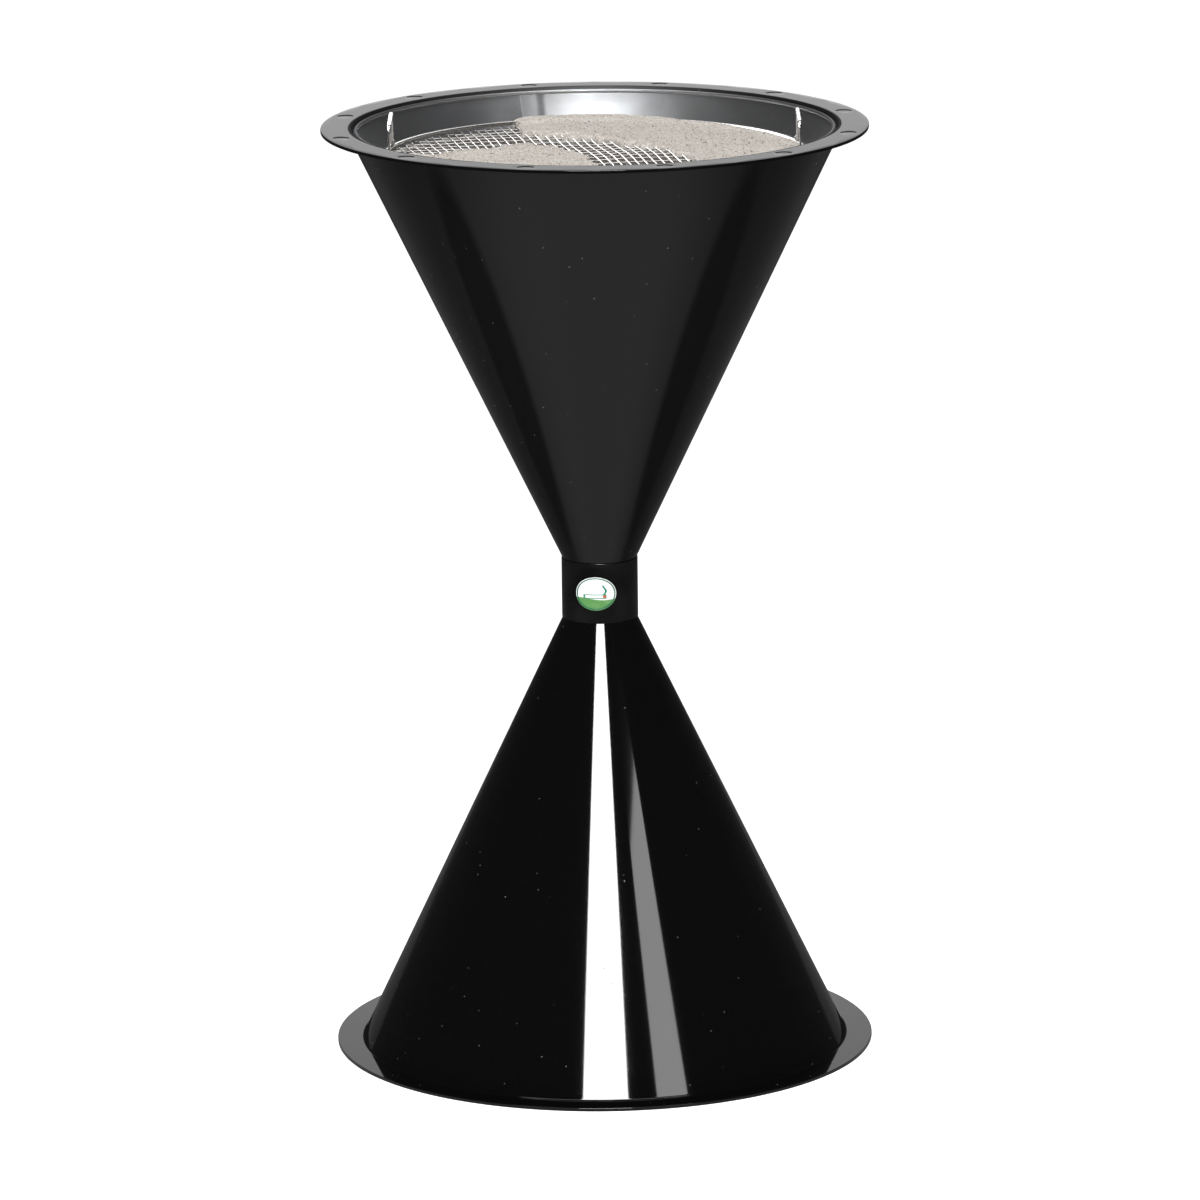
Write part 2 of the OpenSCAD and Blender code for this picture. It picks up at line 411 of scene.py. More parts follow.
class Graph:
    """A material's node tree with its Principled shader.

    Args:
        name: The material's name.
    """

    def __init__(self, name: str) -> None:
        self.material = bpy.data.materials.new(name)
        self.material.use_nodes = True
        self.tree = self.material.node_tree
        self.tree.nodes.clear()
        self.shader = self.node("ShaderNodeBsdfPrincipled")
        output = self.node("ShaderNodeOutputMaterial")
        self.tree.links.new(self.shader.outputs["BSDF"], output.inputs["Surface"])
        self.place = self.out(self.node("ShaderNodeTexCoord"), "Object")

    def node(self, kind: str, settings: dict[str, Any] | None = None, **inputs: Any) -> bpy.types.Node:
        """Adds any node.

        Args:
            kind: The node's type.
            settings: Its settings, which are made first.
            inputs: Values or links of its sockets, with _ for a space and in_0 for a numbered socket.

        Returns:
            The node.
        """
        made = self.tree.nodes.new(kind)
        for key, value in (settings or {}).items():
            setattr(made, key, value)
        for key, value in inputs.items():
            socket = made.inputs[int(key[3:]) if key.startswith("in_") else key.replace("_", " ")]
            self.feed(socket, value)
        return made

    def feed(self, socket: bpy.types.NodeSocket, value: Any) -> None:
        """Links a value to a socket, or sets the socket if the value is a constant."""
        if isinstance(value, Value):
            self.tree.links.new(value.socket, socket)
        elif isinstance(value, tuple) and len(value) == 3 and socket.type == "RGBA":
            socket.default_value = (*value, 1.0)
        else:
            socket.default_value = value

    def out(self, node: bpy.types.Node, name: str | int = 0) -> Value:
        """Returns one of a node's outputs."""
        return Value(self, node.outputs[name])

    def maths(self, operation: str, a: Value | float, b: Value | float = 0.0) -> Value:
        """Adds one Math node."""
        return self.out(self.node("ShaderNodeMath", {"operation": operation}, in_0=a, in_1=b))

    def remap(self, value: Value, low: float, high: float) -> Value:
        """Adds a smooth Map Range from low and high to 0 and 1."""
        made = self.node("ShaderNodeMapRange", {"interpolation_type": "SMOOTHSTEP"}, Value=value,
                         From_Min=low, From_Max=high)
        return self.out(made)

    def mix(self, factor: Value | float, a: Value | Colour, b: Value | Colour) -> Value:
        """Mixes two colours."""
        made = self.tree.nodes.new("ShaderNodeMix")
        made.data_type = "RGBA"
        self.feed(made.inputs["Factor"], factor)
        self.feed(made.inputs[6], a)
        self.feed(made.inputs[7], b)
        return Value(self, made.outputs[2])

    def stretch(self, x: float, y: float, z: float) -> Value:
        """The object's coordinates, in millimetres, stretched along each axis."""
        made = self.node("ShaderNodeMapping", Vector=self.place, Scale=(x / MM, y / MM, z / MM))
        return self.out(made)

    def noise(self, size: float, detail: float = 2.0, rough: float = 0.5,
              place: Value | None = None) -> Value:
        """Noise from 0 to 1 whose blobs are about size millimetres across."""
        made = self.node("ShaderNodeTexNoise", Vector=place or self.stretch(1, 1, 1), Scale=0.5 / size,
                         Detail=detail, Roughness=rough)
        return self.out(made)

    def cells(self, size: float) -> bpy.types.Node:
        """Cells about size millimetres apart: its Distance and its random Color are used."""
        return self.node("ShaderNodeTexVoronoi", {"feature": "F1"}, Vector=self.stretch(1, 1, 1),
                         Scale=1 / size)

    def axes(self, vector: Value | None = None) -> tuple[Value, ...]:
        """The three parts of a vector, or of the object's coordinates in millimetres."""
        parts = self.node("ShaderNodeSeparateXYZ", Vector=vector or self.stretch(1, 1, 1))
        return tuple(self.out(parts, axis) for axis in "XYZ")

    def bump(self, height: Value, depth: float, strength: float = 1.0) -> Value:
        """A normal from a height of 0 to 1 that is depth millimetres high."""
        made = self.node("ShaderNodeBump", Height=height, Distance=depth * MM, Strength=strength)
        return self.out(made)

    def surface(self, **sockets: Any) -> bpy.types.Material:
        """Sets or links the Principled shader's sockets, with _ for a space, and returns the material."""
        for key, value in sockets.items():
            self.feed(self.shader.inputs[key.replace("_", " ")], value)
        return self.material

    def glow(self, tone: Value) -> bpy.types.Material:
        """A face that shines in a colour, reflects nothing and takes no light."""
        return self.surface(Base_Color=(0.0, 0.0, 0.0), Roughness=1.0, Specular_IOR_Level=0.0,
                            Emission_Color=tone, Emission_Strength=1.0)


# ---------------------------------------------------------------- finishes


@dataclass(frozen=True)
class GlossPlastic:
    """Black moulded plastic with a polished face, fine scuffs and settled dust specks.

    Args:
        colour: Base colour.
        gloss: Roughness of a clean face.
        ior: Index of refraction.
        speck_size: Spacing of the cells that may hold a dust speck.
        speck_share: Share of a cell's width that a speck takes.
        neck_r: Outer radius of a funnel's small end in millimetres.
        taper: Gain in radius for each millimetre away from the neck.
        neck_z: Height of the neck's middle.
        neck_half: Half of the distance between the two small ends.
    """

    name: str = "gloss_black_plastic"
    colour: Colour = (0.0022, 0.0022, 0.0025)
    gloss: float = 0.045
    ior: float = 1.40
    speck_size: float = 9.0
    speck_share: float = 0.035
    neck_r: float = 27.5
    taper: float = 0.478
    neck_z: float = 345.0
    neck_half: float = 22.5

    def _inside(self, g: Graph) -> Value:
        """1 on the funnel's inner face, which is left as it came from the mould, and 0 on its outer face."""
        x, y, z = g.axes()
        skin = (g.maths("ABSOLUTE", z - self.neck_z) - self.neck_half) * self.taper + self.neck_r
        return 1 - ((x * x + y * y) ** 0.5 - skin).between(-2.2, -1.0)

    def material(self) -> bpy.types.Material:
        """Returns the finish as a node material."""
        g = Graph(self.name)
        cells = g.cells(self.speck_size)
        lone = g.out(g.node("ShaderNodeSeparateColor", Color=g.out(cells, "Color")), 0)
        spot = 1 - g.out(cells, "Distance").between(self.speck_share, self.speck_share * 2)
        speck = spot * lone.between(0.55, 0.6)
        haze = g.noise(70, 4, 0.55).between(0.35, 0.8)
        scuff = g.noise(1.6, 3, 0.6, g.stretch(0.25, 0.25, 1)).between(0.62, 0.8)
        colour = g.mix(speck * 0.5, self.colour, (0.22, 0.215, 0.2))
        rough = self.gloss + haze * 0.02 + scuff * 0.03 + speck * 0.3 + self._inside(g) * 0.5
        flow = g.noise(45, 2, 0.4)
        return g.surface(Base_Color=colour, Roughness=rough, IOR=self.ior, Normal=g.bump(flow, 0.035))


@dataclass(frozen=True)
class SatinPlastic:
    """Black extruded plastic with a dull satin face and faint lengthwise draw lines."""

    name: str = "satin_black_plastic"
    colour: Colour = (0.002, 0.002, 0.0023)
    ior: float = 1.38

    def material(self) -> bpy.types.Material:
        """Returns the finish as a node material."""
        g = Graph(self.name)
        lines = g.noise(0.7, 3, 0.6, g.stretch(1, 1, 0.02))
        grain = g.noise(0.5, 4, 0.6)
        mottle = g.noise(12, 3, 0.5)
        colour = g.mix(mottle.between(0.3, 0.75), self.colour, (0.006, 0.006, 0.0065))
        return g.surface(Base_Color=colour, Roughness=0.17 + grain * 0.12, IOR=self.ior,
                         Normal=g.bump(lines * 0.5 + grain * 0.5, 0.03))


@dataclass(frozen=True)
class PrintedLabel:
    """Glossy white film with a thin green ring and a plain pictogram of a cigarette on a green field.

    The film's own UV map runs from -1 to 1 over the oval, so that the print follows the curved film.
    """

    name: str = "printed_label"
    paper: Colour = (0.83, 0.85, 0.83)
    ring: Colour = (0.012, 0.12, 0.07)
    meadow: Colour = (0.10, 0.27, 0.075)
    ink: Colour = (0.0, 0.20, 0.12)
    ember: Colour = (0.45, 0.09, 0.02)

    def _bar(self, g: Graph, u: Value, v: Value, box: tuple[float, float, float, float]) -> Value:
        """1 inside a box given by its centre and half sizes, with a narrow soft edge."""
        x, y, half_w, half_h = box
        soft = 0.02
        across = 1 - g.maths("ABSOLUTE", u - x).between(half_w - soft, half_w + soft)
        up = 1 - g.maths("ABSOLUTE", v - y).between(half_h - soft, half_h + soft)
        return across * up

    def material(self) -> bpy.types.Material:
        """Returns the print as a node material."""
        g = Graph(self.name)
        u, v, _ = g.axes(g.out(g.node("ShaderNodeUVMap", {"uv_map": "label"})))
        radius = (u * u + v * v) ** 0.5
        smoke = g.maths("SINE", v * 9.0) * 0.07 + 0.42
        plume = 1 - g.maths("ABSOLUTE", u - smoke).between(0.035, 0.07)
        plume = plume * self._bar(g, u, v, (0.42, 0.22, 0.3, 0.3))
        field_line = 1 - (v + 0.30 + g.maths("SINE", u * 2.6 + 0.6) * 0.07).between(-0.02, 0.02)
        colour = g.mix(field_line, self.paper, self.meadow)
        colour = g.mix(self._bar(g, u, v, (-0.04, -0.16, 0.56, 0.13)), colour, self.ink)
        colour = g.mix(self._bar(g, u, v, (-0.02, -0.16, 0.48, 0.08)), colour, self.paper)
        colour = g.mix(self._bar(g, u, v, (0.42, -0.16, 0.07, 0.08)), colour, self.ember)
        colour = g.mix(plume, colour, self.ink)
        rim = radius.between(0.88, 0.9) * (1 - radius.between(0.95, 0.97))
        colour = g.mix(rim, colour, self.ring)
        fade = g.noise(3, 3, 0.6)
        colour = g.mix(fade.between(0.5, 0.9) * 0.12, colour, (0.6, 0.62, 0.58))
        return g.surface(Base_Color=colour, Roughness=0.22 + fade * 0.1, IOR=1.47, Normal=g.bump(fade, 0.01))


@dataclass(frozen=True)
class SheetSteel:
    """Rolled zinc-coated sheet: vertical rolling grain, cloudy patches and a dusty film."""

    name: str = "tray_sheet_steel"
    colour: Colour = (0.50, 0.51, 0.52)
    rough: float = 0.37

    def material(self) -> bpy.types.Material:
        """Returns the finish as a node material."""
        g = Graph(self.name)
        grain = g.noise(0.9, 4, 0.6, g.stretch(1, 1, 0.05))
        clouds = g.noise(22, 4, 0.55)
        stains = g.noise(7, 5, 0.65).between(0.58, 0.75)
        colour = g.mix(clouds.between(0.3, 0.7), self.colour, (0.43, 0.44, 0.46))
        colour = g.mix(stains * 0.35, colour, (0.33, 0.32, 0.30))
        rough = self.rough + clouds * 0.08 + stains * 0.10 + grain * 0.04
        return g.surface(Base_Color=colour, Metallic=1.0, Roughness=rough, Normal=g.bump(grain, 0.006))


@dataclass(frozen=True)
class BrightWire:
    """Drawn or galvanised steel wire with short draw marks and dull freckles.

    Args:
        name: The material's name.
        colour: Colour of the clean metal.
        rough: Roughness of the clean metal.
        dull: Colour of the dull freckles.
    """

    name: str
    colour: Colour
    rough: float
    dull: Colour

    def material(self) -> bpy.types.Material:
        """Returns the finish as a node material."""
        g = Graph(self.name)
        freckles = g.noise(1.4, 4, 0.65).between(0.52, 0.72)
        marks = g.noise(0.35, 3, 0.6)
        colour = g.mix(freckles, self.colour, self.dull)
        rough = self.rough + freckles * 0.22 + marks * 0.06
        return g.surface(Base_Color=colour, Metallic=1.0, Roughness=rough, Normal=g.bump(marks, 0.01))


@dataclass(frozen=True)
class DrySand:
    """Pale quartz sand: a mosaic of grains in several tones, darkened under the bare mesh partly by ash and
    partly by painted shade of the sand lying deep under the wires.

    The sand's own attribute says where it lies bare under the mesh, and so where that darkening is painted.
    """

    name: str = "dry_sand"
    pale: Colour = (0.54, 0.50, 0.455)
    warm: Colour = (0.475, 0.43, 0.385)
    white: Colour = (0.66, 0.64, 0.61)
    dark: Colour = (0.17, 0.145, 0.125)
    # Colour of the darkened sand: painted shade mixed with ash under the bare mesh, and the tone of the dark
    # loose grains.
    ash: Colour = (0.095, 0.083, 0.073)

    def material(self) -> bpy.types.Material:
        """Returns the finish as a node material."""
        g = Graph(self.name)
        grains = g.cells(1.1)
        tone = g.node("ShaderNodeSeparateColor", Color=g.out(grains, "Color"))
        lot, second = g.out(tone, 0), g.out(tone, 1)
        drift = g.noise(26, 4, 0.6)
        ash = g.out(g.node("ShaderNodeAttribute", {"attribute_name": "ash"}), "Fac")
        colour = g.mix(second, self.pale, self.warm)
        colour = g.mix(drift.between(0.35, 0.75) * 0.35, colour, (0.47, 0.45, 0.42))
        colour = g.mix(lot.between(0.84, 0.86) * 0.85, colour, self.white)
        colour = g.mix((1 - lot.between(0.045, 0.05)) * 0.8, colour, self.dark)
        # Painted shade mixed with ash: the sand under the bare mesh is darkened towards that colour.
        colour = g.mix(ash * (0.9 + drift * 0.1), colour, self.ash)
        height = 1 - g.out(grains, "Distance") * 1.2
        return g.surface(Base_Color=colour, Roughness=0.86 - lot.between(0.84, 0.86) * 0.4,
                         Normal=g.bump(height, 0.3, 0.8))


@dataclass(frozen=True)
class StageFloor:
    """Plain pale studio floor that glows a little, so that shadows on it stay faint."""

    name: str = "studio_floor"
    colour: Colour = (0.90, 0.90, 0.90)
    glow: float = 0.55

    def material(self) -> bpy.types.Material:
        """Returns the finish as a node material."""
        g = Graph(self.name)
        tone = g.mix(g.noise(300, 2, 0.5) * 0.1, self.colour, (0.87, 0.87, 0.87))
        return g.surface(Base_Color=tone, Roughness=0.9, Specular_IOR_Level=0.0,
                         Emission_Color=(1.0, 1.0, 1.0), Emission_Strength=self.glow)


@dataclass(frozen=True)
class ReflectedFloor:
    """What gloss sees of the floor: pale in front of the stand, dim beside and behind it, with dark flags.

    The paleness falls with the angle away from the front. A flag is an ellipse, turned a little, whose
    edge is blurred. Sizes in millimetres.

    Args:
        name: The material's name.
        pale: Brightness in front.
        dim: Brightness beside, behind and further out.
        dark: Brightness of the flags and of the far floor.
        pool: Where the pool starts and ends to fade.
        front: How far the pool reaches in front.
        flag: Middle of the flag on the right.
        flag_size: Half length and half width of a flag.
        flag_turn_deg: Turn of the flags.
        fall_deg: Angles from the front between which the pale floor turns dim.
        far: Distances between which the dim floor turns dark.
    """

    name: str = "reflected_floor"
    pale: float = 0.62
    dim: float = 0.10
    dark: float = 0.045
    pool: tuple[float, float] = (550.0, 1150.0)
    front: float = 900.0
    flag: tuple[float, float] = (600.0, 40.0)
    flag_size: tuple[float, float] = (270.0, 165.0)
    flag_turn_deg: float = 15.0
    fall_deg: tuple[float, float] = (32.0, 118.0)
    far: tuple[float, float] = (1500.0, 2600.0)

    def material(self) -> bpy.types.Material:
        """Returns the finish as a node material."""
        g = Graph(self.name)
        side, y, _ = g.axes()
        x = g.maths("ABSOLUTE", side)
        pale, dim, dark = (self.pale,) * 3, (self.dim,) * 3, (self.dark,) * 3
        away = (x * x + y * y) ** 0.5
        c, s = math.cos(math.radians(self.flag_turn_deg)), math.sin(math.radians(self.flag_turn_deg))
        along = ((x - self.flag[0]) * c + (y - self.flag[1]) * s) / self.flag_size[0]
        across = ((y - self.flag[1]) * c - (x - self.flag[0]) * s) / self.flag_size[1]
        flag = 1 - ((along * along + across * across) ** 0.5).between(0.75, 1.15)
        angle = g.maths("ARCTAN2", x, 0.0 - y) + side * 0.00012
        tone = g.mix(angle.between(*(math.radians(turn) for turn in self.fall_deg)), pale, dim)
        tone = g.mix(away.between(*self.pool), tone, dim)
        tone = g.mix(away.between(*self.far), tone, dark)
        tone = g.mix((y + self.front).between(-250, 250), dark, tone)
        tone = g.mix(flag * 0.85, tone, dark)
        return g.glow(tone)


@dataclass(frozen=True)
class Backdrop:
    """A pale paper backdrop that only gloss sees, brightest low down.

    Args:
        name: The material's name.
        low: Brightness at the foot.
        high: Brightness at the top.
        top: Height of the top in millimetres.
    """

    name: str = "reflected_backdrop"
    low: float = 1.8
    high: float = 0.42
    top: float = 2600.0

    def material(self) -> bpy.types.Material:
        """Returns the finish as a node material."""
        g = Graph(self.name)
        _, _, z = g.axes()
        return g.glow(g.mix(z.between(0, self.top), (self.low,) * 3, (self.high,) * 3))


class Finish(Enum):
    """The finishes of the object's own pieces."""

    CONE = GlossPlastic()
    SLEEVE = SatinPlastic()
    LABEL = PrintedLabel()
    TRAY = SheetSteel()
    SAND = DrySand()
    ZINC = BrightWire("zinc_steel", (0.60, 0.61, 0.62), 0.30, (0.42, 0.42, 0.43))
    SIEVE = BrightWire("sieve_wire", (0.62, 0.61, 0.60), 0.26, (0.27, 0.255, 0.24))
    BAIL = BrightWire("bail_wire", (0.78, 0.78, 0.78), 0.16, (0.50, 0.50, 0.50))
    GRIP = BrightWire("grip_tube", (0.82, 0.81, 0.79), 0.22, (0.45, 0.44, 0.42))


class Wardrobe:
    """Makes each finish's material once and dresses pieces in it."""

    def __init__(self) -> None:
        self.made: dict[Finish, bpy.types.Material] = {}
        self.worn: dict[Finish, list[bpy.types.Object]] = {}

    def dress(self, piece: bpy.types.Object, finish: Finish) -> None:
        """Gives a piece, or a CAD node's object, a finish as its only material."""
        if finish not in self.made:
            self.made[finish] = finish.value.material()
        piece.data.materials.clear()
        piece.data.materials.append(self.made[finish])
        self.worn.setdefault(finish, []).append(piece)


# ---------------------------------------------------------------- sub-assemblies


@dataclass
class Assembly:
    """What all sub-assemblies share.

    Args:
        wardrobe: Where the finishes come from.
    """

    wardrobe: Wardrobe

    def install(self, piece: bpy.types.Object, body: str, slot: str, finish: Finish, *nodes: str) -> None:
        """Sets a piece's body and finish, and hides the CAD nodes that it stands for."""
        self.wardrobe.dress(piece, finish)
        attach(piece, body)
        if nodes:
            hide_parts(*nodes)
        log.info("%s rides on %s, %d faces", piece.name, body, len(piece.data.polygons))

    def keep(self, node: str, finish: Finish) -> None:
        """Gives a CAD node whose shape is right a better material."""
        self.wardrobe.dress(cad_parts[node], finish)
        log.info("%s keeps its CAD shape", node)


@dataclass
class Stand(Assembly):
    """The two funnels, the neck sleeve with its label, and the clamp at the neck. Sizes in millimetres."""

    flange_w: float = 19.5
    flange_t: float = 2.4
    wall: float = 3.0
    sleeve_wall: float = 2.5
    spigot_gap: float = 0.1
    spigot_wall: float = 3.0
    web_t: float = 4.0
    sleeve_step: float = 0.7
    edge_r: float = 0.3
    recess_r: float = 5.9
    recess_depth: float = 0.4
    recess_count: int = 12
    recess_share: float = 0.54
    steps_per_recess: int = 48
    bolt_hole_r: float = 4.4
    bore_blend: float = 11.0
    bore_end: float = 3.0
    label_thickness: float = 0.3
    label_w: float = 31.0
    label_turn_deg: float = 6.5
    rim_h: float = field(init=False)
    flange_r: float = field(init=False)
    shoulder_z: float = field(init=False)
    sleeve_r: float = field(init=False)

    def __post_init__(self) -> None:
        """Takes the driving sizes from the frame."""
        cone, sleeve = NodeBox("upper_cone"), NodeBox("neck_sleeve")
        self.rim_h = cone.top
        self.flange_r = NodeBox("lower_cone").radius
        self.shoulder_z = sleeve.bottom
        self.sleeve_r = sleeve.radius
        self.end_r = self.sleeve_r - self.sleeve_step
        self.root_r = self.flange_r - self.flange_w
        self.taper = (self.root_r - self.end_r) / (self.shoulder_z - self.flange_t)
        self.slant = math.hypot(1, self.taper)
        self.mouth_r = self.root_r + self.taper * self.flange_t - self.wall * self.slant

    def _flat_face(self, inner: float, outer: float) -> list[Array]:
        """The flange's flat face: one patch round each recess.

        A patch is a web of rays. Each ray starts at the recess's centre, runs over its floor, up its
        rounded side and out to a point on the patch's border, which is a stretch of the annulus; between
        the recess's edge and the border a point is the mean of the two ends, weighted by how far out it is.

        Args:
            inner: Radius where the face meets its rounded inner edge.
            outer: Radius where it meets its rounded outer edge.

        Returns:
            A grid of points for each patch, one row for each ring round the recess.
        """
        half = math.pi / self.recess_count
        centre_r = self.mouth_r + (self.flange_r - self.mouth_r) * self.recess_share
        turn = np.linspace(-half, half, self.steps_per_recess + 1)
        out = np.linspace(inner, outer, 9)[1:-1]
        border_r = np.concatenate([np.full(len(turn), outer), out[::-1], np.full(len(turn), inner), out])
        border_a = np.concatenate([turn, np.full(len(out), half), turn[::-1], np.full(len(out), -half)])
        border = np.column_stack([border_r * np.cos(border_a), border_r * np.sin(border_a)])
        ray = border - np.array([centre_r, 0.0])
        heading = ray / np.linalg.norm(ray, axis=1, keepdims=True)
        inside = [(0.0, 1.0), (0.45, 1.0), (0.80, 1.0), (0.90, 0.93), (0.95, 0.75), (1.0, 0.28),
                  (1.05, 0.05), (1.10, 0.0)]
        rings = [np.column_stack([centre_r + heading[:, 0] * r * self.recess_r,
                                  heading[:, 1] * r * self.recess_r,
                                  np.full(len(ray), d * self.recess_depth)]) for r, d in inside]
        last = rings[-1]
        flat_border = np.column_stack([border, np.zeros(len(ray))])
        rings += [last + (flat_border - last) * w for w in (0.1, 0.25, 0.5, 1.0)]
        patch = np.stack(rings)
        turned = []
        for i in range(self.recess_count):
            a = (i + 0.5) * 2 * half
            c, s = math.cos(a), math.sin(a)
            turned.append(patch @ np.array([[c, s, 0], [-s, c, 0], [0, 0, 1]]))
        return turned

    def _moulding(self, name: str, flipped: bool) -> bpy.types.Object:
        """One funnel: its outline carried round the axis, and the flat face with its recesses.

        Args:
            name: The piece's name.
            flipped: Whether it hangs mouth up from the rim instead of standing mouth down.

        Returns:
            The funnel as one closed mesh.
        """
        edge = self.edge_r
        half_h = self.rim_h / 2
        spigot_r = self.sleeve_r - self.sleeve_wall - self.spigot_gap
        bore_r = spigot_r - self.spigot_wall
        hole_r = self.bolt_hole_r
        blend_z = self.shoulder_z - self.bore_blend
        corners = [
            (self.mouth_r, 0), (self.flange_r, 0), (self.flange_r, self.flange_t),
            (self.root_r, self.flange_t), (self.end_r, self.shoulder_z), (spigot_r, self.shoulder_z),
            (spigot_r, half_h), (hole_r, half_h), (hole_r, half_h - self.web_t),
            (bore_r, half_h - self.web_t), (bore_r, self.shoulder_z - self.bore_end),
            (self.mouth_r - self.taper * blend_z, blend_z),
        ]
        radii = [edge, edge, 0.35, 1.6, 0.5, 0.0, 0.4, 0.3, 0.3, 1.0, 1.5, 4.0]
        outline = rounded(corners, radii)
        # The flat face between the first two corners comes from the patches.
        first_arc = 7
        ring = np.vstack([outline[first_arc:], outline[:first_arc]])
        long_wall = self._refined(ring)
        parts = MeshParts()
        angles = full_turn(self.recess_count * self.steps_per_recess)
        parts.grid(revolve(long_wall, angles), wrap_cols=True)
        for patch in self._flat_face(float(ring[-1][0]), float(ring[0][0])):
            parts.grid(patch, wrap_cols=True)
        if flipped:
            parts.points = [p * np.array([1, -1, -1]) + np.array([0, 0, self.rim_h]) for p in parts.points]
        return parts.build(name, 50, merge=0.02)

    @staticmethod
    def _refined(outline: Array, longest: float = 26.0) -> Array:
        """Adds points so that no stretch of an open outline is longer than this many millimetres.

        A long stretch also gets a point close to each end, which keeps its shading flat up to the bend.
        """
        rows = [outline[:1]]
        for a, b in zip(outline[:-1], outline[1:]):
            length = float(np.linalg.norm(b - a))
            pieces = max(1, math.ceil(length / longest))
            share = np.arange(1, pieces + 1) / pieces
            if length > 1.5:
                share = np.union1d(share, [0.25 / length, 1 - 0.25 / length])
            rows.append(a + (b - a) * share[:, None])
        return np.vstack(rows)

    def _sleeve(self) -> bpy.types.Object:
        """The neck sleeve: a tube with eased edges."""
        low, high = self.shoulder_z, NodeBox("neck_sleeve").top
        bore = self.sleeve_r - self.sleeve_wall
        corners = [(bore, low), (self.sleeve_r, low), (self.sleeve_r, high), (bore, high)]
        outline = rounded(corners, [0.2, 0.45, 0.45, 0.2])
        parts = MeshParts()
        parts.grid(revolve(outline, full_turn(144)), wrap_rows=True, wrap_cols=True)
        return parts.build("sleeve_skin")

    def _label(self) -> bpy.types.Object:
        """The oval film: rings of an ellipse laid round the sleeve, with a rounded edge."""
        low, high = NodeBox("neck_label").corners()
        half_h = float(high[2] - low[2]) / 2
        half_w = self.label_w / 2
        turn = full_turn(96)
        share = np.array([0.02, 0.25, 0.5, 0.75, 0.9, 0.97, 0.99, 1.0, 1.0])
        lift = np.array([1, 1, 1, 1, 1, 1, 0.9, 0.6, 0.0]) * self.label_thickness
        u = share[:, None] * np.cos(turn)
        v = share[:, None] * np.sin(turn)
        angle = -math.pi / 2 - math.radians(self.label_turn_deg) + u * half_w / self.sleeve_r
        height = self.rim_h / 2 + v * half_h
        top = polar(self.sleeve_r + lift[:, None], angle, height)
        under = polar(self.sleeve_r + 0.005, angle, height)
        parts = MeshParts()
        number = parts.grid(np.concatenate([top, under[-2::-1]]), wrap_cols=True)
        parts.fan(number[0], top[0].mean(0))
        parts.fan(number[-1], under[0].mean(0))
        piece = parts.build("label_film", 60)
        co = vertices_of(piece)
        around = np.arctan2(co[:, 1], co[:, 0]) + math.pi / 2 + math.radians(self.label_turn_deg)
        flat = np.column_stack([around * self.sleeve_r / half_w, (co[:, 2] - self.rim_h / 2) / half_h])
        corner = np.empty(len(piece.data.loops), int)
        piece.data.loops.foreach_get("vertex_index", corner)
        piece.data.uv_layers.new(name="label").data.foreach_set("uv", flat[corner].ravel())
        return piece

    def build(self) -> None:
        """Builds and dresses the stand's pieces."""
        for which, flipped in (("upper", True), ("lower", False)):
            self.install(self._moulding(f"{which}_funnel", flipped), "stand", "cone_plastic", Finish.CONE,
                         f"{which}_cone")
        self.install(self._sleeve(), "stand", "sleeve_plastic", Finish.SLEEVE, "neck_sleeve")
        self.install(self._label(), "stand", "label_film", Finish.LABEL, "neck_label")
        for node in ("clamp_bolt", "bolt_washers", "wing_nut"):
            self.keep(node, Finish.ZINC)


